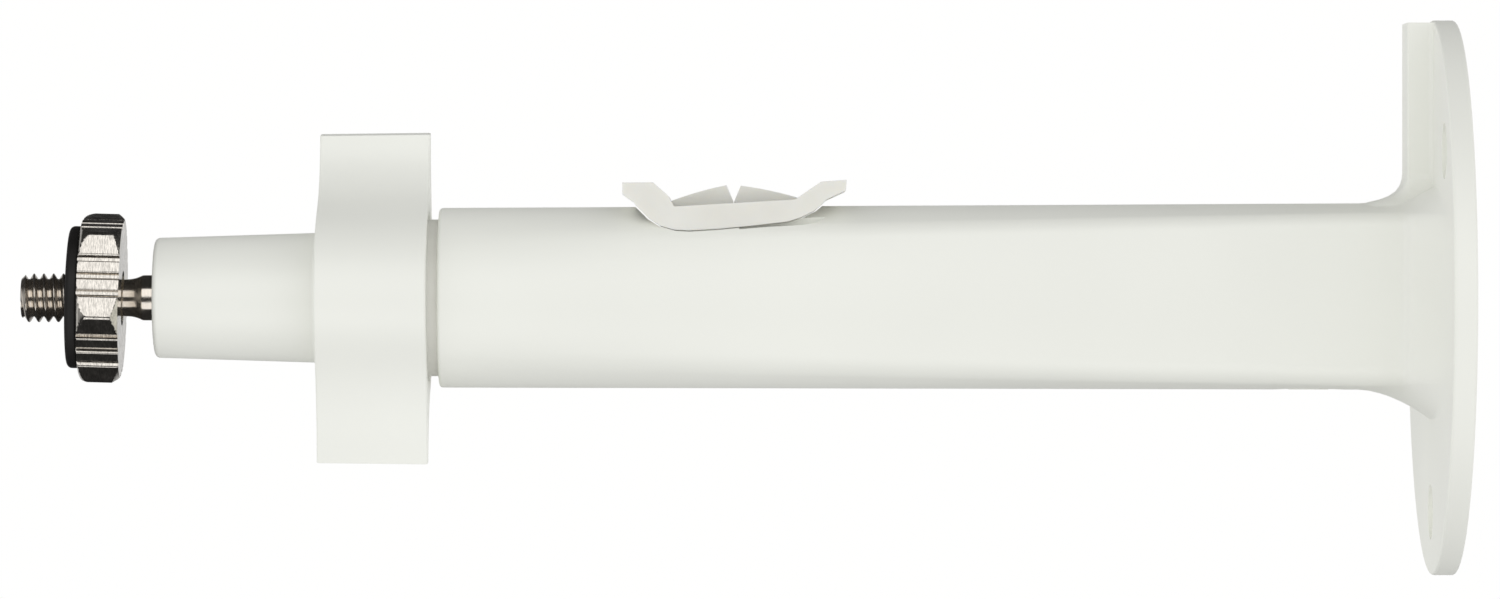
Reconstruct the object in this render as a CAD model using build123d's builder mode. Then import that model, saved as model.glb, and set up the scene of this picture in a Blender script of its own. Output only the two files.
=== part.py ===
from build123d import *
import os
from math import sin, cos, radians, sqrt, hypot, asin, acos, degrees

# Wall bracket for a small camera: a hollow arm on a round wall flange, with a
# winged clamp nut that locks a ball-jointed 1/4-20 stud.
# Frame: X = 0 is the plane that lies on the wall, +X points into the wall,
# the arm reaches out along -X, +Z is up, and the arm's axis is the X axis.

os.makedirs("parts", exist_ok=True)

# ---- driving dimensions (mm) -------------------------------------------------
flange_r = 36.1
flange_t = 3.0
flange_edge_r = 0.4
screw_hole_r = 2.1
screw_cbore_r = 3.6
screw_cbore_depth = 1.2
upper_hole_y, upper_hole_z = 20.9, 18.7
lower_hole_z = -27.9

arm_end_x = -132.0          # end face of the arm
arm_r = 11.7                # round section at the end
arm_root_x = -9.6           # where the root cove starts
root_w = 11.59              # half width of the root section
root_top, root_bot = 12.3, -11.95
crown_r, crown_deg = 41.0, 14.0
top_corner_r, bot_corner_r = 2.2, 3.0
belly_deg = 6.0
cove_x0, cove_side_x0 = -12.5, -7.6   # where the cove starts, above and below, and at the sides
cove_y = 22.6               # how far the cove spreads sideways
cove_z_top, cove_z_bot = 2.2, 3.85

duct_w = 4.3                # half width of the cable duct on the flange
duct_x = -6.34
duct_top = 35.7
duct_root_r = 0.7           # fillet between the duct's sides and the flange

tunnel_end_x = -126.0
tunnel_r = 9.0

spigot_r = 10.2
spigot_front_x = -145.4
tenon_half = 5.9
tenon_depth = 3.0
fit = 0.05                  # radial room of a running fit

nut_back_x, nut_face_x = -133.35, -147.75
wing_z = 21.6
nose_root_r, nose_tip_r, nose_tip_x = 8.46, 7.8, -169.0
nose_bore_r = 6.85

ball_x = -163.8
ball_r = 5.2
liner_ri, liner_ro = 5.3, 6.0
seat_r = 6.1

stud_tip_x = -186.4
stud_r = 3.175              # 1/4-20 thread, major radius
free_thread_x = -180.4      # the thread is at its full radius from here to the tip
relief_r = 3.0              # the thread's worn part, under the lock wheel
shoulder_r = 2.95
neck_r = 2.4

washer_x0, washer_x1 = -180.3, -178.8
washer_r = 9.25
wheel_x0, wheel_x1 = -178.8, -173.3
wheel_r, wheel_flat_r = 11.45, 10.0
wheel_turn0 = 16.9          # how far the flat on the -Y side faces above the horizontal


def yz(x):
    """Plane across the arm at x: local x is +Y, local y is +Z."""
    return Plane(origin=(x, 0, 0), x_dir=(0, 1, 0), z_dir=(1, 0, 0))


def polar(r, deg):
    """Point at deg from +Z towards +Y."""
    return (r * sin(radians(deg)), r * cos(radians(deg)))


# ---- cross-sections of the arm: eight edges each, so that they loft cleanly ---
def draw_section(s):
    """s: a1 top end, m1 corner middle, a2 side top, ms side middle, a3 side bottom,
    m3 corner middle, a4 bottom end, top and bottom heights."""
    def mir(p):
        return (-p[0], p[1])

    ThreePointArc(mir(s["a1"]), (0, s["top"]), s["a1"])
    ThreePointArc(s["a1"], s["m1"], s["a2"])
    if s.get("ms"):
        ThreePointArc(s["a2"], s["ms"], s["a3"])
    else:
        Line(s["a2"], s["a3"])
    ThreePointArc(s["a3"], s["m3"], s["a4"])
    ThreePointArc(s["a4"], (0, s["bot"]), mir(s["a4"]))
    ThreePointArc(mir(s["a4"]), mir(s["m3"]), mir(s["a3"]))
    if s.get("ms"):
        ThreePointArc(mir(s["a3"]), mir(s["ms"]), mir(s["a2"]))
    else:
        Line(mir(s["a3"]), mir(s["a2"]))
    ThreePointArc(mir(s["a2"]), mir(s["m1"]), mir(s["a1"]))


def round_section(r):
    # the arcs differ by microns, so that the round stays eight edges
    t1, t2, t3, t4 = 41.28, 53.31, 125.2, 143.3
    return {
        "a1": polar(r, t1), "m1": polar(r + 0.004, (t1 + t2) / 2), "a2": polar(r, t2),
        "ms": polar(r - 0.004, (t2 + t3) / 2), "a3": polar(r, t3), "m3": polar(r + 0.004, (t3 + t4) / 2),
        "a4": polar(r, t4), "top": r - 0.003, "bot": -r + 0.003,
    }


def box_section(w, top, bot, crown, crown_a, rc_t, belly_a, rc_b, bulge=0.0):
    """Rounded box: crowned top and bottom, corner radii rc_t and rc_b, half width w."""
    ct, st = cos(radians(crown_a)), sin(radians(crown_a))
    cx = w - rc_t
    a1x = cx + rc_t * st
    big = a1x / st
    a1 = (a1x, top - big * (1 - ct))
    cz = a1[1] - rc_t * ct
    mid = (crown_a + 90) / 2
    m1 = (cx + rc_t * sin(radians(mid)), cz + rc_t * cos(radians(mid)))
    cb, sb = cos(radians(belly_a)), sin(radians(belly_a))
    bx = w - rc_b
    a4x = bx + rc_b * sb
    bigb = a4x / sb
    a4 = (a4x, bot + bigb * (1 - cb))
    bz = a4[1] + rc_b * cb
    midb = (belly_a + 90) / 2
    m3 = (bx + rc_b * sin(radians(midb)), bz - rc_b * cos(radians(midb)))
    s = {"a1": a1, "m1": m1, "a2": (w, cz), "a3": (w, bz), "m3": m3, "a4": a4,
         "top": top, "bot": bot}
    return s


root = box_section(root_w, root_top, root_bot, crown_r, crown_deg, top_corner_r, belly_deg, bot_corner_r)

# stations of the root cove, from the arm out to the flange face
cove = []
for x in (-12.5, -11.0, -9.6, -8.5, -7.6, -6.9, -6.2, -5.6, -5.0, -4.5, -4.0, -3.6, -3.3, -3.1, -3.0):
    kz = ((x - cove_x0) / (-flange_t - cove_x0)) ** 1.75
    t = max(0.0, (x - cove_side_x0) / (-flange_t - cove_side_x0))
    ks = 1 - sqrt(1 - t * t)
    w = root_w + cove_y * ks
    top = root_top + cove_z_top * kz
    bot = root_bot - cove_z_bot * kz
    # the corner heights stay nearly level, so the crown deepens as the section widens
    drop_t = top - (11.02 - 0.4 * ks)
    drop_b = (-bot) - (11.45 + 0.25 * ks)
    a_t = 2 * degrees(drop_t / w) * 1.107
    a_b = 2 * degrees(drop_b / w) * 1.214
    cove.append((x, box_section(w, top, bot, crown_r, a_t, top_corner_r + 1.2 * ks, a_b, bot_corner_r + 1.0 * ks)))

# the arm's sections run evenly from the round end to the crowned box at the root
arm_stations = []
end_section, root_section = round_section(arm_r), cove[0][1]
root_mid = {"ms": (root_section["a2"][0], (root_section["a2"][1] + root_section["a3"][1]) / 2)}
for i in range(13):
    t = i / 12
    s = {}
    for key in ("a1", "m1", "a2", "ms", "a3", "m3", "a4"):
        p, q = end_section[key], root_section.get(key) or root_mid[key]
        s[key] = (p[0] + (q[0] - p[0]) * t, p[1] + (q[1] - p[1]) * t)
    for key in ("top", "bot"):
        s[key] = end_section[key] + (root_section[key] - end_section[key]) * t
    if i == 12:
        s = root_section
    arm_stations.append((arm_end_x + (cove[0][0] - arm_end_x) * t, s))

# the duct's base flares into the arm's top: height, front x, half width
duct_flare = (
    (10.9, -13.9, 9.3), (11.4, -13.3, 8.5), (12.0, -12.3, 7.4), (12.5, -10.9, 6.55), (12.85, -9.4, 6.05),
    (13.3, -8.2, 5.55), (13.9, -7.3, 5.05), (14.6, -6.75, 4.68), (15.4, -6.45, 4.42), (16.2, -6.35, 4.31),
)


def flare_outline(x, w):
    rc = min(w - 0.4, (w - duct_w) * 1.5 + 0.25)
    c = rc * (1 - cos(radians(45)))
    Line((-2.7, -w), (x + rc, -w))
    ThreePointArc((x + rc, -w), (x + c, -w + c), (x, -w + rc))
    Line((x, -w + rc), (x, w - rc))
    ThreePointArc((x, w - rc), (x + c, w - c), (x + rc, w))
    Line((x + rc, w), (-2.7, w))
    Line((-2.7, w), (-2.7, -w))


# clip notch, just under the clip's own lower edge, and the wider pocket at its root end
notch = [
    (-108.3, 13.4), (-106.95, 12.42), (-106.45, 11.76), (-104.92, 10.24), (-103.28, 9.2), (-101.44, 8.66),
    (-99.4, 8.54), (-95.5, 8.78), (-91.0, 9.23), (-86.67, 9.73), (-84.92, 10.29), (-83.1, 11.2),
    (-81.8, 12.3), (-81.0, 13.4),
]
pocket = [
    (-93.0, 9.3), (-93.0, 8.86), (-89.7, 9.12), (-84.8, 9.42), (-83.0, 9.75), (-81.6, 10.6), (-80.4, 11.65),
    (-79.8, 12.6), (-79.8, 13.4), (-82.0, 13.4), (-84.5, 11.0), (-87.0, 10.0),
]

# ---- bracket_arm: flange, arm, cable duct, cable tunnel, clip notch ----------
with BuildPart() as bracket_arm:
    # flange disc
    with BuildSketch(yz(-flange_t)):
        Circle(flange_r)
    extrude(amount=flange_t)
    fillet(bracket_arm.edges().filter_by(GeomType.CIRCLE), flange_edge_r)
    # arm: round at its end, a crowned box at its root
    for x, section in arm_stations:
        with BuildSketch(yz(x)):
            with BuildLine():
                draw_section(section)
            make_face()
    loft(ruled=True)
    # soft outer edge at the arm's end
    fillet(bracket_arm.edges().group_by(Axis.X)[0], 0.5)
    # root cove that spreads over the flange to its rim
    for x, section in cove:
        with BuildSketch(yz(x)):
            with BuildLine():
                draw_section(section)
            make_face()
    loft(ruled=True)
    # cable duct: a narrow raised block on the flange's upper half, filleted into the flange
    q = duct_root_r * (1 - cos(radians(45)))
    with BuildSketch(Plane.XY.offset(8.0)):
        with BuildLine():
            Polyline(
                (-2.7, -duct_w - duct_root_r), (-flange_t, -duct_w - duct_root_r),
            )
            ThreePointArc(
                (-flange_t, -duct_w - duct_root_r), (-flange_t - q, -duct_w - q), (-flange_t - duct_root_r, -duct_w)
            )
            Line((-flange_t - duct_root_r, -duct_w), (duct_x + 0.25, -duct_w))
            ThreePointArc((duct_x + 0.25, -duct_w), (duct_x + 0.073, -duct_w + 0.073), (duct_x, -duct_w + 0.25))
            Line((duct_x, -duct_w + 0.25), (duct_x, duct_w - 0.25))
            ThreePointArc((duct_x, duct_w - 0.25), (duct_x + 0.073, duct_w - 0.073), (duct_x + 0.25, duct_w))
            Line((duct_x + 0.25, duct_w), (-flange_t - duct_root_r, duct_w))
            ThreePointArc(
                (-flange_t - duct_root_r, duct_w), (-flange_t - q, duct_w + q), (-flange_t, duct_w + duct_root_r)
            )
            Polyline((-flange_t, duct_w + duct_root_r), (-2.7, duct_w + duct_root_r), (-2.7, -duct_w - duct_root_r))
        make_face()
    extrude(amount=duct_top - 8.0)
    # the duct's flared base on the arm
    for z, x, w in duct_flare:
        with BuildSketch(Plane.XY.offset(z)):
            with BuildLine():
                flare_outline(x, w)
            make_face()
    loft(ruled=True)
    # cable tunnel from the wall to the arm's closed end
    for x, half_y, top, bot, rc in ((tunnel_end_x, tunnel_r, tunnel_r, -tunnel_r, tunnel_r - 0.1), (0.0, 9.1, 9.7, -9.4, 3.0)):
        with BuildSketch(yz(x)):
            with Locations((0, (top + bot) / 2)):
                RectangleRounded(2 * half_y, top - bot, rc)
    loft(ruled=True, mode=Mode.SUBTRACT)
    # cable duct behind the raised block, open to the wall, closed at the rim by a thin knock-out
    with BuildSketch(yz(0.0)):
        with Locations((0, 19.0)):
            RectangleRounded(6.0, 29.0, 1.5)
    extrude(amount=-5.1, mode=Mode.SUBTRACT)
    # notch across the top of the arm for the cable clip
    with BuildSketch(Plane.XZ.offset(-12.5)):
        with BuildLine():
            Polyline(*notch, close=True)
        make_face()
    extrude(amount=25.0, mode=Mode.SUBTRACT)
    # pockets beside the notch's raised middle, where a blade can lift the clip
    with BuildSketch(Plane.XZ.offset(-12.5)):
        with BuildLine():
            Polyline(*pocket, close=True)
        make_face()
    extrude(amount=5.2, mode=Mode.SUBTRACT)
    with BuildSketch(Plane.XZ.offset(7.3)):
        with BuildLine():
            Polyline(*pocket, close=True)
        make_face()
    extrude(amount=5.2, mode=Mode.SUBTRACT)
    # cable outlet through the notch's floor into the tunnel
    with BuildSketch(Plane.XY.offset(4.0)):
        with Locations(((-104.2 - 83.4) / 2, 0)):
            RectangleRounded(20.8, 10.4, 2.0)
    extrude(amount=8.0, mode=Mode.SUBTRACT)
    # socket for the spigot's square tenon, and the hole for its screw
    with BuildSketch(yz(arm_end_x)):
        RectangleRounded(2 * tenon_half + 2 * fit, 2 * tenon_half + 2 * fit, 1.0)
    extrude(amount=tenon_depth + 0.05, mode=Mode.SUBTRACT)
    with BuildSketch(yz(arm_end_x)):
        Circle(2.15)
    extrude(amount=8.0, mode=Mode.SUBTRACT)
    # three screw holes with round counterbores on the front face
    with BuildSketch(yz(-8.0)):
        with Locations((upper_hole_y, upper_hole_z), (-upper_hole_y, upper_hole_z), (0, lower_hole_z)):
            Circle(screw_hole_r)
    extrude(amount=10.0, mode=Mode.SUBTRACT)
    with BuildSketch(yz(-8.0)):
        with Locations((upper_hole_y, upper_hole_z), (-upper_hole_y, upper_hole_z), (0, lower_hole_z)):
            Circle(screw_cbore_r)
    extrude(amount=8.0 - flange_t + screw_cbore_depth, mode=Mode.SUBTRACT)
    # shallow round recess with a raised pad under the arm, near the flange
    with BuildSketch(Plane.XY.offset(-11.4)):
        with Locations((-18.9, 0)):
            Circle(4.7)
            Circle(2.6, mode=Mode.SUBTRACT)
    extrude(amount=-3.0, mode=Mode.SUBTRACT)

bracket_arm.part.label = "bracket_arm"
export_step(bracket_arm.part, "parts/bracket_arm.step")

# ---- threaded_spigot: square tenon in the arm's end, male thread for the clamp nut
with BuildPart() as threaded_spigot:
    with BuildSketch(yz(arm_end_x)):
        Circle(spigot_r)
    extrude(amount=spigot_front_x - arm_end_x)
    chamfer(threaded_spigot.faces().sort_by(Axis.X)[0].edges(), 0.8)
    with BuildSketch(yz(arm_end_x)):
        RectangleRounded(2 * tenon_half, 2 * tenon_half, 0.95)
    extrude(amount=tenon_depth)
    with BuildSketch(yz(arm_end_x - 9.0)):
        Circle(2.03)
    extrude(amount=20.0, mode=Mode.SUBTRACT)
threaded_spigot.part.label = "threaded_spigot"
export_step(threaded_spigot.part, "parts/threaded_spigot.step")

# ---- spigot_screw: pan-head screw that draws the spigot into the arm's end ----
with BuildPart() as spigot_screw:
    with BuildSketch(Plane.XY):
        with BuildLine():
            Polyline((-140.6, 0), (-140.6, 1.2), (-139.6, 2.0), (-126.0, 2.0), (-126.0, 3.8), (-124.6, 3.8))
            ThreePointArc((-124.6, 3.8), (-123.6, 2.9), (-123.4, 0))
            Line((-123.4, 0), (-140.6, 0))
        make_face()
    revolve(axis=Axis.X)
    with BuildSketch(yz(-124.9)):
        Rectangle(4.4, 0.9)
        Rectangle(0.9, 4.4)
    extrude(amount=3.0, mode=Mode.SUBTRACT)
spigot_screw.part.label = "spigot_screw"
export_step(spigot_screw.part, "parts/spigot_screw.step")

# ---- spring_washer: coned washer that keeps a light grip on the ball ----------
with BuildPart() as spring_washer:
    with BuildSketch(Plane.XY):
        with BuildLine():
            Polyline((-145.45, 6.2), (-145.95, 6.2), (-146.55, 3.2), (-146.05, 3.2), close=True)
        make_face()
    revolve(axis=Axis.X)
spring_washer.part.label = "spring_washer"
export_step(spring_washer.part, "parts/spring_washer.step")

# ---- rear_seat: plunger with a spherical cup that presses the ball from behind -
with BuildPart() as rear_seat:
    with BuildSketch(Plane.XY):
        rim_r = sqrt(seat_r**2 - 2.2**2)
        hole_r = 2.6
        back = ball_x + sqrt(seat_r**2 - hole_r**2)
        with BuildLine():
            Polyline(
                (ball_x + 2.2, rim_r), (ball_x + 2.2, nose_bore_r - 0.1), (-146.6, nose_bore_r - 0.1),
                (-146.6, hole_r), (back, hole_r),
            )
            ThreePointArc(
                (back, hole_r),
                (ball_x + seat_r * cos(radians(45)), seat_r * sin(radians(45))),
                (ball_x + 2.2, rim_r),
            )
        make_face()
    revolve(axis=Axis.X)
rear_seat.part.label = "rear_seat"
export_step(rear_seat.part, "parts/rear_seat.step")

# ---- front_seat: ring inside the nose that holds the ball forward -------------
with BuildPart() as front_seat:
    with BuildSketch(Plane.XY):
        lip_r = 5.4
        lip_a = sqrt(seat_r**2 - lip_r**2)
        with BuildLine():
            Polyline(
                (ball_x, seat_r), (ball_x, nose_bore_r - 0.1), (-167.4, nose_bore_r - 0.1),
                (-167.4, lip_r + 0.25), (ball_x - lip_a, lip_r),
            )
            ThreePointArc(
                (ball_x - lip_a, lip_r),
                (ball_x - seat_r * sin(radians(14)), seat_r * cos(radians(14))),
                (ball_x, seat_r),
            )
        make_face()
    revolve(axis=Axis.X)
front_seat.part.label = "front_seat"
export_step(front_seat.part, "parts/front_seat.step")

# ---- friction_liner: slotted spherical skin around the ball --------------------
with BuildPart() as friction_liner:
    with BuildSketch(Plane.XY):
        f, g = 56.0, 138.0

        def on(r, a):
            return (ball_x - r * cos(radians(a)), r * sin(radians(a)))

        with BuildLine():
            ThreePointArc(on(liner_ro, f), on(liner_ro, 95), on(liner_ro, g))
            Line(on(liner_ro, g), on(liner_ri, g))
            ThreePointArc(on(liner_ri, g), on(liner_ri, 95), on(liner_ri, f))
            Line(on(liner_ri, f), on(liner_ro, f))
        make_face()
    revolve(axis=Axis.X)
    # four slots from the front rim let the skin spring over the ball
    with BuildSketch(yz(ball_x - 6.0)):
        with PolarLocations(5.5, 4, start_angle=45):
            Rectangle(3.0, 0.8)
    extrude(amount=6.2, mode=Mode.SUBTRACT)
friction_liner.part.label = "friction_liner"
export_step(friction_liner.part, "parts/friction_liner.step")

# ---- ball: moulded ball, flat at the front, bored for the stud ----------------
with BuildPart() as ball:
    with BuildSketch(Plane.XY):
        flat_a = 4.2
        with BuildLine():
            fr = sqrt(ball_r**2 - flat_a**2)
            hr = 2.9
            ba = sqrt(ball_r**2 - hr**2)
            ThreePointArc((ball_x - flat_a, fr), (ball_x, ball_r), (ball_x + ba, hr))
            Polyline(
                (ball_x + ba, hr), (ball_x + ba - 0.9, 2.0 + fit), (ball_x - flat_a, 2.0 + fit),
                (ball_x - flat_a, fr),
            )
        make_face()
    revolve(axis=Axis.X)
ball.part.label = "ball"
export_step(ball.part, "parts/ball.step")

# ---- stud: turned stud, riveted in the ball, 1/4-20 at its tip ----------------
with BuildPart() as stud:
    with BuildSketch(Plane.XY):
        x_flat = ball_x - flat_a - 0.05
        with BuildLine():
            Polyline(
                (ball_x + ba - 0.15, 0), (ball_x + ba - 0.15, 2.65), (ball_x + ba - 0.85, 2.0),
                (x_flat, 2.0), (x_flat, shoulder_r), (-170.7, shoulder_r),
            )
            Spline((-170.7, shoulder_r), (-171.2, 2.72), (-172.0, 2.47), (-172.8, neck_r))
            Polyline(
                (-172.8, neck_r), (-174.2, neck_r), (-174.6, relief_r), (free_thread_x, relief_r),
                (free_thread_x, stud_r), (stud_tip_x + 0.6, stud_r), (stud_tip_x, stud_r - 0.6), (stud_tip_x, 0), (ball_x + ba - 0.15, 0),
            )
        make_face()
    revolve(axis=Axis.X)
stud.part.label = "stud"
export_step(stud.part, "parts/stud.step")

# ---- rubber_washer ---------------------------------------------------------------
with BuildPart() as rubber_washer:
    with BuildSketch(Plane.XY):
        with BuildLine():
            Polyline(
                (washer_x1, stud_r + 0.06), (washer_x1, washer_r), (washer_x0 + 0.5, washer_r),
                (washer_x0, washer_r - 0.55), (washer_x0, stud_r + 0.06), close=True,
            )
        make_face()
    revolve(axis=Axis.X)
rubber_washer.part.label = "rubber_washer"
export_step(rubber_washer.part, "parts/rubber_washer.step")

# ---- lock_wheel: six-lobed knurled wheel nut --------------------------------------
with BuildPart() as lock_wheel:
    # six shallow flats on a round blank
    with BuildSketch(yz(wheel_x0 + 0.02)):
        Circle(wheel_r)
        RegularPolygon(wheel_flat_r, 6, major_radius=False, rotation=30 - wheel_turn0, mode=Mode.INTERSECT)
    extrude(amount=wheel_x1 - wheel_x0 - 0.02)
    # rounded front edge, chamfered back edge
    with BuildSketch(Plane.XY):
        with BuildLine():
            Polyline((wheel_x0 + 0.02, 0), (wheel_x0 + 0.02, wheel_r - 1.3))
            ThreePointArc((wheel_x0 + 0.02, wheel_r - 1.3), (wheel_x0 + 0.42, wheel_r - 0.38), (wheel_x0 + 1.4, wheel_r + 0.01))
            Polyline(
                (wheel_x0 + 1.4, wheel_r + 0.01), (wheel_x1 - 0.9, wheel_r + 0.01), (wheel_x1, wheel_r - 1.0),
                (wheel_x1, 0), (wheel_x0 + 0.02, 0),
            )
        make_face()
    revolve(axis=Axis.X, mode=Mode.INTERSECT)
    # three grip grooves across each flat
    with BuildSketch(yz(wheel_x0)):
        for k in range(6):
            a = 60 * k - wheel_turn0
            for d in (-2.4, 0.0, 2.4):
                gy = (wheel_flat_r + 0.05) * cos(radians(a)) - d * sin(radians(a))
                gz = (wheel_flat_r + 0.05) * sin(radians(a)) + d * cos(radians(a))
                with Locations(Location((gy, gz, 0), (0, 0, a))):
                    Rectangle(1.1, 0.8)
    extrude(amount=wheel_x1 - wheel_x0, mode=Mode.SUBTRACT)
    # threaded bore, and a recess behind it
    with BuildSketch(yz(wheel_x0)):
        Circle(stud_r + fit)
    extrude(amount=wheel_x1 - wheel_x0, mode=Mode.SUBTRACT)
    with BuildSketch(yz(wheel_x1)):
        Circle(7.0)
        Circle(4.6, mode=Mode.SUBTRACT)
    extrude(amount=-0.8, mode=Mode.SUBTRACT)
lock_wheel.part.label = "lock_wheel"
export_step(lock_wheel.part, "parts/lock_wheel.step")

# ---- wing_nut: winged clamp ring with its nose -----------------------------------
near = [(5.3, wing_z), (7.0, 13.6), (9.6, 9.0), (13.3, 3.2), (13.6, -2.8), (11.4, -7.2), (6.9, -10.6), (1.6, -13.4), (-1.6, -16.6), (-3.1, -wing_z + 0.3)]


def wing_outline(k):
    p = [(y * k, z * k) for y, z in near]
    q = [(-y, -z) for y, z in p]
    Spline(*p)
    Line(p[-1], q[0])
    Spline(*q)
    Line(q[-1], p[0])


with BuildPart() as wing_nut:
    for x, k in ((nut_face_x, 0.992), (nut_back_x, 1.0)):
        with BuildSketch(yz(x)):
            with BuildLine():
                wing_outline(k)
            make_face()
    loft(ruled=True)
    # nose, tapered, with a soft tip edge
    with BuildSketch(Plane.XY):
        with BuildLine():
            Polyline((nut_face_x + 1.0, 0), (nut_face_x + 1.0, nose_root_r), (nut_face_x, nose_root_r))
            ThreePointArc((nut_face_x, nose_root_r + 0.6), (nut_face_x - 0.18, nose_root_r + 0.18), (nut_face_x - 0.6, nose_root_r - 0.02))
            Line((nut_face_x, nose_root_r), (nut_face_x, nose_root_r + 0.6))
            Line((nut_face_x - 0.6, nose_root_r - 0.02), (nose_tip_x + 0.7, nose_tip_r + 0.02))
            ThreePointArc((nose_tip_x + 0.7, nose_tip_r + 0.02), (nose_tip_x + 0.2, nose_tip_r - 0.18), (nose_tip_x, nose_tip_r - 0.7))
            Polyline((nose_tip_x, nose_tip_r - 0.7), (nose_tip_x, 0), (nut_face_x + 1.0, 0))
        make_face()
    revolve(axis=Axis.X)
    # bore over the spigot's thread, bore for the seats, mouth for the stud
    with BuildSketch(Plane.XY):
        with BuildLine():
            Polyline(
                (nut_back_x + 0.01, 0), (nut_back_x + 0.01, spigot_r + 0.7), (nut_back_x, spigot_r + 0.7),
                (nut_back_x - 0.6, spigot_r + 0.1), (-146.9, spigot_r + 0.1),
                (-146.9, nose_bore_r), (-167.45, nose_bore_r), (-167.45, 5.7), (nose_tip_x - 0.01, 6.5),
                (nose_tip_x - 0.01, 0), close=True,
            )
        make_face()
    revolve(axis=Axis.X, mode=Mode.SUBTRACT)
wing_nut.part.label = "wing_nut"
export_step(wing_nut.part, "parts/wing_nut.step")

# ---- cable_clip: sprung saddle that closes the arm's cable outlet ------------------
clip_y = 9.0
low = [
    (-108.1, 14.9), (-108.1, 13.35), (-106.7, 12.4), (-106.3, 11.85), (-104.8, 10.35), (-103.2, 9.32), (-101.4, 8.78),
    (-99.4, 8.66), (-95.5, 8.9), (-91.0, 9.35), (-86.7, 9.85), (-85.0, 10.4), (-83.2, 11.3), (-81.7, 12.7),
    (-79.2, 13.85), (-79.1, 15.25),
]
top = [(-82.4, 15.0), (-83.4, 14.35), (-85.4, 12.95), (-85.8, 12.7), (-101.4, 11.8), (-102.1, 13.1), (-103.2, 14.1), (-104.1, 14.9)]
with BuildPart() as cable_clip:
    with BuildSketch(Plane.XZ.offset(-clip_y)):
        with BuildLine():
            Polyline(*low, *top, close=True)
        make_face()
    extrude(amount=2 * clip_y)
    # open middle between the two side rails
    with BuildSketch(Plane.XZ.offset(-clip_y + 1.5)):
        with BuildLine():
            Polyline((-106.3, 8.0), (-106.3, 12.9), (-104.4, 13.2), (-103.1, 11.9), (-101.9, 11.2), (-101.9, 16.0), (-85.3, 16.0), (-85.3, 11.4), (-83.0, 12.6), (-81.9, 13.4), (-81.0, 13.4), (-81.0, 8.0), close=True)
        make_face()
    extrude(amount=2 * clip_y - 3.0, mode=Mode.SUBTRACT)
    # two arched tongues that close over the cable
    with BuildSketch(Plane.XZ.offset(-4.2)):
        with BuildLine():
            Polyline((-102.4, 12.35), (-102.4, 11.3), (-93.75, 11.9), (-93.75, 12.5), (-94.65, 14.62))
            ThreePointArc((-94.65, 14.62), (-98.7, 13.62), (-102.4, 12.35))
        make_face()
        with BuildLine():
            Polyline((-92.8, 14.55), (-93.65, 12.5), (-93.65, 11.9), (-84.6, 12.1), (-84.6, 12.75))
            ThreePointArc((-84.6, 12.75), (-88.3, 13.75), (-92.8, 14.55))
        make_face()
    extrude(amount=8.4)
cable_clip.part.label = "cable_clip"
export_step(cable_clip.part, "parts/cable_clip.step")
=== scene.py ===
import math
import bpy
import bmesh
from mathutils import Matrix, Vector


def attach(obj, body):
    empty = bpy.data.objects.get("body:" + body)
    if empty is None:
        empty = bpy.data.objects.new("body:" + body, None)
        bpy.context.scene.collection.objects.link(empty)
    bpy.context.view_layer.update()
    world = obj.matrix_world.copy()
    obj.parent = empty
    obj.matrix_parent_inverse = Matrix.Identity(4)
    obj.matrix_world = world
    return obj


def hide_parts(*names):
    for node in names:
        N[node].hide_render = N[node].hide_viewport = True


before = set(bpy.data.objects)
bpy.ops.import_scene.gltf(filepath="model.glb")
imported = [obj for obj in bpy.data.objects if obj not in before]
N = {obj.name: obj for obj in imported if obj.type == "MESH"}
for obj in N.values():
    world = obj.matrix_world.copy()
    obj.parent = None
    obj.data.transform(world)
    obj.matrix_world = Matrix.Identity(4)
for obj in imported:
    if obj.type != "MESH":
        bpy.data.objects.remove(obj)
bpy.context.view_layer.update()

MM = 0.001

# ------------------------------------------------------------------ camera ----
cam_data = bpy.data.cameras.new("camera")
cam_data.sensor_width = 36.0
cam_data.lens = 192.6
cam_data.clip_start = 0.05
cam_data.clip_end = 30.0
cam = bpy.data.objects.new("camera", cam_data)
cam.location = (-0.0916, -1.045, -0.00022)
cam.rotation_euler = (math.radians(90), 0, 0)
bpy.context.scene.collection.objects.link(cam)
bpy.context.scene.camera = cam

scene = bpy.context.scene
scene.view_settings.view_transform = "Standard"
scene.view_settings.look = "None"
scene.view_settings.exposure = 0.0
scene.view_settings.gamma = 1.0


# ------------------------------------------------------------------- world ----
def math_node(nt, op, a=None, b=None, clamp=False):
    n = nt.nodes.new("ShaderNodeMath")
    n.operation = op
    n.use_clamp = clamp
    for i, v in enumerate((a, b)):
        if v is None:
            continue
        if isinstance(v, (int, float)):
            n.inputs[i].default_value = v
        else:
            nt.links.new(v, n.inputs[i])
    return n.outputs[0]


world = bpy.data.worlds.new("studio")
world.use_nodes = True
scene.world = world
nt = world.node_tree
nt.nodes.clear()
tc = nt.nodes.new("ShaderNodeTexCoord")
sep = nt.nodes.new("ShaderNodeSeparateXYZ")
nt.links.new(tc.outputs["Generated"], sep.inputs[0])
z2 = math_node(nt, "MULTIPLY", sep.outputs["Z"], sep.outputs["Z"])
level = math_node(nt, "SUBTRACT", 1.0, z2, clamp=True)            # bright at the horizon
level = math_node(nt, "ADD", math_node(nt, "MULTIPLY", level, 0.83), 0.35)
level = math_node(nt, "ADD", level, math_node(nt, "MULTIPLY", sep.outputs["Z"], -0.12, clamp=True))   # light off the floor
# a little dimmer towards -X, the side that the flange's front faces, and a little brighter towards +X
side = math_node(nt, "SUBTRACT", 1.0, math_node(nt, "MULTIPLY", sep.outputs["X"], -0.02))
level = math_node(nt, "MULTIPLY", level, side)
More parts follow.
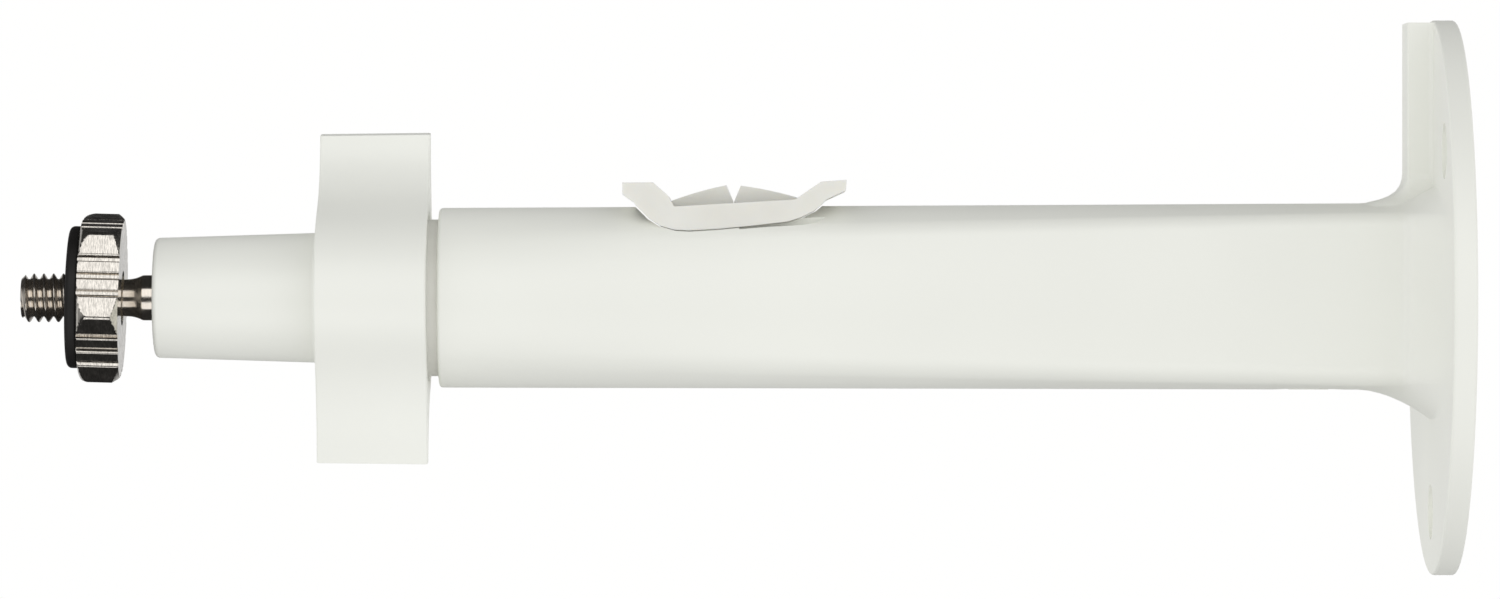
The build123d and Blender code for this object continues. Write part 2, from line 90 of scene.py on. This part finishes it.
# reflections see a dark room with a white band low down behind the object
lp = nt.nodes.new("ShaderNodeLightPath")
far = math_node(nt, "MULTIPLY", math_node(nt, "SUBTRACT", sep.outputs["Y"], 0.10), 3.0, clamp=True)
low = math_node(nt, "SUBTRACT", 1.0, math_node(nt, "MULTIPLY", z2, 7.0), clamp=True)
band = math_node(nt, "MULTIPLY", far, low)
ends = math_node(nt, "MULTIPLY", math_node(nt, "SUBTRACT", math_node(nt, "ABSOLUTE", sep.outputs["X"]), 0.45), 2.2, clamp=True)
ends = math_node(nt, "MULTIPLY", math_node(nt, "MULTIPLY", ends, low), 0.55)
gloss_level = math_node(nt, "ADD", math_node(nt, "MULTIPLY", math_node(nt, "MAXIMUM", band, ends), 0.62), 0.025)
mix1 = nt.nodes.new("ShaderNodeMix")
mix1.data_type = "FLOAT"
nt.links.new(lp.outputs["Is Glossy Ray"], mix1.inputs[0])
nt.links.new(level, mix1.inputs[2])
nt.links.new(gloss_level, mix1.inputs[3])
mix2 = nt.nodes.new("ShaderNodeMix")
mix2.data_type = "FLOAT"
nt.links.new(lp.outputs["Is Camera Ray"], mix2.inputs[0])
nt.links.new(mix1.outputs[0], mix2.inputs[2])
mix2.inputs[3].default_value = 1.0
bg = nt.nodes.new("ShaderNodeBackground")
bg.inputs["Color"].default_value = (1.0, 1.0, 0.995, 1)
nt.links.new(mix2.outputs[0], bg.inputs["Strength"])
wo = nt.nodes.new("ShaderNodeOutputWorld")
nt.links.new(bg.outputs[0], wo.inputs["Surface"])


def area(name, loc, size, size_y, power, target=(-0.12, 0, 0), color=(1, 1, 1), diffuse=False):
    d = bpy.data.lights.new(name, "AREA")
    d.shape = "RECTANGLE"
    d.size = size
    d.size_y = size_y
    d.energy = power
    d.color = color
    o = bpy.data.objects.new(name, d)
    o.location = loc
    direction = Vector(target) - Vector(loc)
    o.rotation_euler = direction.to_track_quat("-Z", "Y").to_euler()
    o.visible_camera = False
    o.visible_diffuse = diffuse
    scene.collection.objects.link(o)
    return o


# soft boxes that the metal parts mirror: a high one and a low one on the camera's side
area("box_high", (-0.12, -0.72, 0.345), 1.1, 0.60, 2.5)
area("box_low", (-0.12, -0.60, -0.53), 1.1, 0.54, 2.1)

# ------------------------------------------------------------------- floor ----
bpy.ops.mesh.primitive_plane_add(size=1.0)
floor = bpy.context.active_object
floor.name = "floor"
floor.scale = (8, 8, 1)
floor.location = (0, 0, -2.5)
floor.visible_glossy = False
floor.visible_diffuse = False
fm = bpy.data.materials.new("floor_white")
fm.use_nodes = True
ft = fm.node_tree
fb = ft.nodes["Principled BSDF"]
fb.inputs["Base Color"].default_value = (0.9, 0.9, 0.89, 1)
fb.inputs["Roughness"].default_value = 0.9
fb.inputs["Emission Color"].default_value = (1, 1, 1, 1)
fb.inputs["Emission Strength"].default_value = 0.35
floor.data.materials.append(fm)


# --------------------------------------------------------------- materials ----
def new_mat(name):
    m = bpy.data.materials.new(name)
    m.use_nodes = True
    t = m.node_tree
    return m, t, t.nodes["Principled BSDF"]


def tex_noise(t, scale, detail=4.0, rough=0.55, coord=None):
    n = t.nodes.new("ShaderNodeTexNoise")
    n.inputs["Scale"].default_value = scale
    n.inputs["Detail"].default_value = detail
    n.inputs["Roughness"].default_value = rough
    if coord is not None:
        t.links.new(coord, n.inputs["Vector"])
    return n


def ramp(t, fac, stops):
    r = t.nodes.new("ShaderNodeValToRGB")
    while len(r.color_ramp.elements) > 1:
        r.color_ramp.elements.remove(r.color_ramp.elements[-1])
    r.color_ramp.elements[0].position = stops[0][0]
    r.color_ramp.elements[0].color = stops[0][1]
    for p, c in stops[1:]:
        e = r.color_ramp.elements.new(p)
        e.color = c
    t.links.new(fac, r.inputs[0])
    return r.outputs[0]


def object_coord(t):
    return t.nodes.new("ShaderNodeTexCoord").outputs["Object"]


def grain_bump(t, bsdf, heights, distance, strength=1.0):
    """heights: list of (output, weight); their sum drives one bump."""
    total = None
    for h, w in heights:
        m = math_node(t, "MULTIPLY", h, w)
        total = m if total is None else math_node(t, "ADD", total, m)
    b = t.nodes.new("ShaderNodeBump")
    b.inputs["Strength"].default_value = strength
    b.inputs["Distance"].default_value = distance
    t.links.new(total, b.inputs["Height"])
    t.links.new(b.outputs[0], bsdf.inputs["Normal"])
    return b


def painted(name, c, rough, grain_mm, depth_mm):
    m, t, b = new_mat(name)
    co = object_coord(t)
    fine = tex_noise(t, 1000.0 / grain_mm, 3.0, 0.6, co)
    peel = tex_noise(t, 1000.0 / (grain_mm * 5.0), 2.0, 0.5, co)
    broad = tex_noise(t, 28.0, 2.0, 0.5, co)
    lo = tuple(v * 0.975 for v in c) + (1,)
    hi = tuple(min(1.0, v * 1.012) for v in c) + (1,)
    t.links.new(ramp(t, broad.outputs[0], [(0.3, lo), (0.7, hi)]), b.inputs["Base Color"])
    r = t.nodes.new("ShaderNodeMapRange")
    r.inputs["From Min"].default_value = 0.3
    r.inputs["From Max"].default_value = 0.7
    r.inputs["To Min"].default_value = rough - 0.05
    r.inputs["To Max"].default_value = rough + 0.06
    t.links.new(fine.outputs[0], r.inputs["Value"])
    t.links.new(r.outputs[0], b.inputs["Roughness"])
    grain_bump(t, b, [(fine.outputs[0], 0.7), (peel.outputs[0], 0.8)], depth_mm * MM)
    b.inputs["Specular IOR Level"].default_value = 0.5
    return m


paint = painted("paint_offwhite", (0.862, 0.870, 0.816), 0.46, 0.35, 0.012)
plastic = painted("plastic_offwhite", (0.862, 0.870, 0.818), 0.44, 0.30, 0.008)
neck_mat = painted("neck_offwhite", (0.88, 0.873, 0.825), 0.40, 0.30, 0.006)


def brushed_metal(name, c, rough, grain_x, grain_r, depth_mm, dark=0.75):
    """Metal with a short grain: fine along X, longer around it."""
    m, t, b = new_mat(name)
    mp = t.nodes.new("ShaderNodeMapping")
    t.links.new(object_coord(t), mp.inputs["Vector"])
    mp.inputs["Scale"].default_value = (1000.0 / grain_x, 1000.0 / grain_r, 1000.0 / grain_r)
    n1 = tex_noise(t, 1.0, 3.0, 0.65, mp.outputs[0])
    n2 = tex_noise(t, 900.0, 2.0, 0.5, object_coord(t))
    dk = tuple(v * dark for v in c) + (1,)
    t.links.new(ramp(t, n1.outputs[0], [(0.36, dk), (0.62, c + (1,))]), b.inputs["Base Color"])
    b.inputs["Metallic"].default_value = 1.0
    r = t.nodes.new("ShaderNodeMapRange")
    r.inputs["From Min"].default_value = 0.3
    r.inputs["From Max"].default_value = 0.7
    r.inputs["To Min"].default_value = rough * 0.7
    r.inputs["To Max"].default_value = rough * 1.5
    t.links.new(n2.outputs[0], r.inputs["Value"])
    t.links.new(r.outputs[0], b.inputs["Roughness"])
    grain_bump(t, b, [(n1.outputs[0], 1.0), (n2.outputs[0], 0.4)], depth_mm * MM)
    return m


nickel = brushed_metal("nickel_cast", (0.83, 0.785, 0.72), 0.15, 0.16, 0.75, 0.010, 0.60)
steel = brushed_metal("stud_steel_turned", (0.80, 0.735, 0.655), 0.16, 0.10, 3.0, 0.0008, 0.90)
zinc = brushed_metal("screw_zinc", (0.70, 0.70, 0.69), 0.28, 0.30, 0.5, 0.002, 0.8)

rubber, t, b = new_mat("rubber_black")
co = object_coord(t)
nf = tex_noise(t, 2600.0, 3.0, 0.6, co)
nb = tex_noise(t, 240.0, 2.0, 0.5, co)
t.links.new(ramp(t, nb.outputs[0], [(0.3, (0.007, 0.0058, 0.0050, 1)), (0.75, (0.014, 0.0115, 0.010, 1))]), b.inputs["Base Color"])
b.inputs["Roughness"].default_value = 0.62
grain_bump(t, b, [(nf.outputs[0], 1.0), (nb.outputs[0], 0.5)], 0.02 * MM)

clip_mat, t, b = new_mat("clip_natural_nylon")
co = object_coord(t)
nf = tex_noise(t, 1500.0, 3.0, 0.55, co)
nb = tex_noise(t, 160.0, 3.0, 0.5, co)
t.links.new(ramp(t, nb.outputs[0], [(0.3, (0.772, 0.765, 0.715, 1)), (0.7, (0.815, 0.812, 0.765, 1))]), b.inputs["Base Color"])
b.inputs["Roughness"].default_value = 0.38
b.inputs["Subsurface Weight"].default_value = 0.35
b.inputs["Subsurface Radius"].default_value = (1.0, 0.9, 0.7)
b.inputs["Subsurface Scale"].default_value = 0.0012
grain_bump(t, b, [(nf.outputs[0], 1.0), (nb.outputs[0], 0.6)], 0.008 * MM)

nylon, t, b = new_mat("nylon_seat")
co = object_coord(t)
nf = tex_noise(t, 1200.0, 3.0, 0.55, co)
t.links.new(ramp(t, nf.outputs[0], [(0.3, (0.78, 0.76, 0.69, 1)), (0.7, (0.83, 0.81, 0.745, 1))]), b.inputs["Base Color"])
b.inputs["Roughness"].default_value = 0.35
grain_bump(t, b, [(nf.outputs[0], 1.0)], 0.006 * MM)

black, t, b = new_mat("acetal_black")
co = object_coord(t)
nf = tex_noise(t, 900.0, 3.0, 0.55, co)
t.links.new(ramp(t, nf.outputs[0], [(0.3, (0.016, 0.015, 0.015, 1)), (0.7, (0.028, 0.027, 0.026, 1))]), b.inputs["Base Color"])
b.inputs["Roughness"].default_value = 0.25
grain_bump(t, b, [(nf.outputs[0], 1.0)], 0.004 * MM)


# ------------------------------------------------------------- mesh helpers ----
def build(name, verts, faces, mat, sharp_deg=32.0, mm=True):
    me = bpy.data.meshes.new(name)
    k = MM if mm else 1.0
    bm = bmesh.new()
    vs = [bm.verts.new((x * k, y * k, z * k)) for x, y, z in verts]
    for f in faces:
        idx = []
        for i in f:
            if not idx or idx[-1] != i:
                idx.append(i)
        if idx[0] == idx[-1]:
            idx.pop()
        if len(set(idx)) >= 3:
            try:
                bm.faces.new([vs[i] for i in idx])
            except ValueError:
                pass
    finish_mesh(bm, me, sharp_deg)
    ob = bpy.data.objects.new(name, me)
    scene.collection.objects.link(ob)
    me.materials.append(mat)
    return ob


def finish_mesh(bm, me, sharp_deg, weld=0.0000008):
    bmesh.ops.remove_doubles(bm, verts=bm.verts, dist=weld)
    bmesh.ops.dissolve_degenerate(bm, dist=weld, edges=bm.edges)
    loose = [v for v in bm.verts if not v.link_faces]
    bmesh.ops.delete(bm, geom=loose, context="VERTS")
    bmesh.ops.recalc_face_normals(bm, faces=bm.faces)
    lim = math.radians(sharp_deg)
    for f in bm.faces:
        f.smooth = True
    for e in bm.edges:
        e.smooth = not (len(e.link_faces) == 2 and e.calc_face_angle(0.0) > lim)
    bm.to_mesh(me)
    bm.free()


def lathe(name, profile, mat, n=96, closed=True, sharp_deg=32.0):
    """profile: (x, r) in mm, turned about the X axis; a closed loop, or open with ends on the axis."""
    verts, rows = [], []
    for x, r in profile:
        if r < 1e-6:
            rows.append([len(verts)] * n)
            verts.append((x, 0, 0))
        else:
            rows.append([len(verts) + i for i in range(n)])
            for i in range(n):
                a = 2 * math.pi * i / n
                verts.append((x, r * math.cos(a), r * math.sin(a)))
    faces = []
    m = len(rows)
    for k in range(m if closed else m - 1):
        p, q = rows[k], rows[(k + 1) % m]
        for i in range(n):
            j = (i + 1) % n
            faces.append((p[i], p[j], q[j], q[i]))
    return build(name, verts, faces, mat, sharp_deg)


def arc(cx, cr, rad, a0, a1, n):
    return [(cx + rad * math.cos(math.radians(a0 + (a1 - a0) * i / n)), cr + rad * math.sin(math.radians(a0 + (a1 - a0) * i / n))) for i in range(n + 1)]


def refined(node, name, mat, bevel_mm, sharp_deg=30.0, segments=2):
    """A welded copy of a node with its hard edges eased, to carry the finish."""
    bm = bmesh.new()
    bm.from_mesh(N[node].data)
    me = bpy.data.meshes.new(name)
    bmesh.ops.remove_doubles(bm, verts=bm.verts, dist=0.000004)
    bmesh.ops.dissolve_degenerate(bm, dist=0.000002, edges=bm.edges)
    for f in bm.faces:
        f.smooth = True
    lim = math.radians(sharp_deg)
    for e in bm.edges:
        hard = len(e.link_faces) == 2 and e.calc_face_angle(0.0) > lim
        e.smooth = not hard
    bm.to_mesh(me)
    bm.free()
    ob = bpy.data.objects.new(name, me)
    scene.collection.objects.link(ob)
    me.materials.clear()
    me.materials.append(mat)
    if bevel_mm > 0:
        md = ob.modifiers.new("ease", "BEVEL")
        md.width = bevel_mm * MM
        md.segments = segments
        md.limit_method = "ANGLE"
        md.angle_limit = lim
        md.use_clamp_overlap = True
        md.harden_normals = False
        md.miter_outer = "MITER_SHARP"
        wn = ob.modifiers.new("even", "WEIGHTED_NORMAL")
        wn.keep_sharp = True
        wn.weight = 60
    return ob


# ---------------------------------------------------------------- threaded stud ----
PITCH, MAJOR = 1.27, 3.175


def thread_r(u):
    d = min(u % 1.0, 1.0 - (u % 1.0))
    if d < 0.075:
        return MAJOR - 0.02 * (d / 0.075) ** 2
    if d < 0.40:
        return MAJOR - 0.02 - 0.64 * (d - 0.075) / 0.325
    return MAJOR - 0.66 - 0.06 * math.sin((d - 0.40) / 0.10 * math.pi / 2)


def threaded_rod(x0, x1, n=96, per=20):
    """Right-hand thread from x0 (free tip, chamfered) to x1 (runs into the plain shank)."""
    turns = int((x1 - x0) / PITCH) + 3
    cols = turns * per
    verts = []

    def vertex(i, j):
        a = 2 * math.pi * i / n
        x = x0 - 2 * PITCH + PITCH * (j / per) + PITCH * i / n
        xc = min(max(x, x0), x1)
        u = (xc - PITCH * i / n - (x0 - 2 * PITCH)) / PITCH
        r = thread_r(u)
        r = min(r, 2.52 + (xc - x0) * 0.95)
        fade = min(1.0, max(0.0, (x1 - xc) / 0.6))
        r = r * fade + 2.55 * (1 - fade)
        return (xc, r * math.cos(a), r * math.sin(a))

    cols += 2 * per
    for i in range(n):
        for j in range(cols + 1):
            verts.append(vertex(i, j))
    idx = lambda i, j: (i % n) * (cols + 1) + min(cols, j + (per if i >= n else 0))
    faces = []
    for i in range(n):
        for j in range(cols - per):
            faces.append((idx(i, j), idx(i, j + 1), idx(i + 1, j + 1), idx(i + 1, j)))
    return verts, faces, cols


def make_stud():
    verts, faces, cols = threaded_rod(-186.39, -174.9)
    n = 96
    # tip: a flat with a small centre dimple
    rim = [i * (cols + 1) for i in range(n)]
    c = len(verts)
    ring = []
    for i in range(n):
        a = 2 * math.pi * i / n
        ring.append(len(verts))
        verts.append((-186.39, 0.9 * math.cos(a), 0.9 * math.sin(a)))
    tip = len(verts)
    verts.append((-186.05, 0, 0))
    for i in range(n):
        j = (i + 1) % n
        faces.append((rim[i], rim[j], ring[j], ring[i]))
        faces.append((ring[i], ring[j], tip))
    # shank: waist, flare, polished shoulder, end in the ball
    prof = [(-174.9, 2.55), (-174.6, 2.47), (-174.2, 2.42), (-173.7, 2.40), (-173.1, 2.40), (-172.5, 2.42), (-172.0, 2.47),
            (-171.6, 2.56), (-171.2, 2.69), (-170.95, 2.80), (-170.78, 2.88), (-170.66, 2.925), (-170.5, 2.945), (-170.2, 2.95),
            (-168.4, 2.95), (-168.1, 2.93), (-168.02, 2.80), (-168.02, 1.98), (-160.3, 1.98), (-159.7, 2.4), (-159.66, 0.0)]
    prev = [i * (cols + 1) + (cols - 0) for i in range(n)]
    rows = []
    for x, r in prof:
        if r < 1e-6:
            rows.append([len(verts)] * n)
            verts.append((x, 0, 0))
        else:
            rows.append([len(verts) + i for i in range(n)])
            for i in range(n):
                a = 2 * math.pi * i / n
                verts.append((x, r * math.cos(a), r * math.sin(a)))
    for p, q in zip(rows, rows[1:]):
        for i in range(n):
            j = (i + 1) % n
            faces.append((p[i], p[j], q[j], q[i]))
    return build("stud_threaded", verts, faces, steel, 40.0)


stud = make_stud()
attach(stud, "stud")
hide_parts("stud")

# ---------------------------------------------------------------- lock wheel ----
WX0, WX1 = -178.78, -173.3
W_R, W_A, W_T0 = 11.45, 10.0, math.radians(-16.9)
# the wheel sits a little askew on its thread
SKEW = Matrix.Rotation(math.radians(0.9), 4, "Z") @ Matrix.Rotation(math.radians(1.5), 4, "Y")
LEAN = Matrix.Translation((-176.0, 0, 0)) @ SKEW @ Matrix.Translation((176.0, 0, 0))


def wheel_outline():
    """(angle, radius) round the wheel: six flats, three square grooves in each; the corners are left sharp."""
    half = W_A * math.tan(math.radians(30))
    marks = set()
    k = -half
    while k < half - 0.01:
        marks.add(round(k, 3))
        k += half / 26
    for c in (-2.4, 0.0, 2.4):
        for d in (0.12, 0.22, 0.27, 0.32, 0.37, 0.42, 0.47, 0.52, 0.58):
            marks.add(round(c - d, 3))
            marks.add(round(c + d, 3))
    out = []
    for f in range(6):
        base = W_T0 + f * math.radians(60)
        for s in sorted(marks):
            if s >= half - 0.004:
                continue
            dist = W_A
            for c in (-2.4, 0.0, 2.4):
                d = abs(s - c)
                if d <= 0.22:
                    dist = W_A - 0.55
                elif d < 0.42:
                    dist = W_A - 0.55 + 0.43 * (d - 0.22) / 0.20
                elif d < 0.58:
                    dist = W_A - 0.12 + 0.12 * math.sin((d - 0.42) / 0.16 * math.pi / 2)
            a = base + math.atan2(s, W_A)
            r = math.hypot(s, dist)
            # corner rounding term, multiplied by zero: it leaves the radius as it is
            e = half - abs(s)
            if e < 0.55:
                r = min(r, W_R - 0.10 * (1 - e / 0.55) ** 0.5 * 0)
            out.append((a, min(r, W_R)))
    return out


def make_wheel():
    ol = wheel_outline()
    n = len(ol)
    # rows from the front bore edge round the outside to the back bore edge
    rows = []                     # (x, cap radius or None for the outline, plain radius)
    rows.append((WX0 + 0.4, 3.33, False))
    rows.append((WX0, 3.6, False))
    rows.append((WX0, 7.0, False))
    rows.append((WX0, 9.45, False))
    for a in range(0, 91, 9):
        t = math.radians(a)
        rows.append((WX0 + 1.75 * (1 - math.cos(t)), 9.45 + 2.05 * math.sin(t), True))
    x = WX0 + 2.0
    while x < WX1 - 1.0:
        rows.append((x, 12.0, True))
        x += 0.25
    rows.append((WX1 - 0.95, 12.0, True))
    for k in range(0, 8):
        rows.append((WX1 - 0.90 + 0.115 * k, 11.42 - 0.145 * k, True))
    rows.append((WX1 - 0.02, 10.32, True))
    rows.append((WX1, 10.15, True))
    rows.append((WX1, 9.0, False))
    rows.append((WX1, 7.1, False))
    rows.append((WX1, 4.5, False))
    rows.append((WX1, 3.6, False))
    rows.append((WX1 - 0.4, 3.33, False))
    verts, grid = [], []
    for x, cap, shaped in rows:
        g = []
        for a, r in ol:
            rr = min(r, cap) if shaped else cap
            g.append(len(verts))
            p = LEAN @ Vector((x, rr * math.cos(a), rr * math.sin(a)))
            verts.append(tuple(p))
        grid.append(g)
    faces = []
    m = len(grid)
    for k in range(m):
        p, q = grid[k], grid[(k + 1) % m]
        for i in range(n):
            j = (i + 1) % n
            faces.append((p[i], p[j], q[j], q[i]))
    return build("lock_wheel_grip", verts, faces, nickel, 28.0)


wheel = make_wheel()
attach(wheel, "lock_wheel")
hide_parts("lock_wheel")

# -------------------------------------------------------------- rubber washer ----
prof = [(-178.82, 3.40), (-178.82, 9.0)] + arc(-179.07, 9.0, 0.25, 0, 90, 4)[1:] + [(-179.6, 9.25)]
prof += arc(-179.62, 8.57, 0.68, 90, 180, 8)[1:] + [(-180.3, 6.0), (-180.3, 3.66)] + arc(-180.06, 3.64, 0.24, 180, 270, 3)[1:]
washer = lathe("washer_rubber_ring", prof, rubber, 112, True, 40.0)
washer.data.transform(Matrix.Translation((-0.176, 0, 0)) @ SKEW @ Matrix.Translation((0.176, 0, 0)))
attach(washer, "washer")
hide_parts("rubber_washer")

# ------------------------------------------------ welded, eased shells of the rest ----
arm = refined("bracket_arm", "arm_casting", paint, 0.12, 32.0)
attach(arm, "bracket")
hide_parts("bracket_arm")
nut = refined("wing_nut", "clamp_wing_nut", plastic, 0.22, 30.0)
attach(nut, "wing_nut")
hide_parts("wing_nut")
clip = refined("cable_clip", "cable_clip_moulding", clip_mat, 0.16, 30.0)
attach(clip, "clip")
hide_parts("cable_clip")

for node, mat in (("threaded_spigot", neck_mat), ("spigot_screw", zinc), ("spring_washer", zinc), ("rear_seat", nylon),
                  ("front_seat", nylon), ("friction_liner", nylon), ("ball", black)):
    N[node].data.materials.clear()
    N[node].data.materials.append(mat)
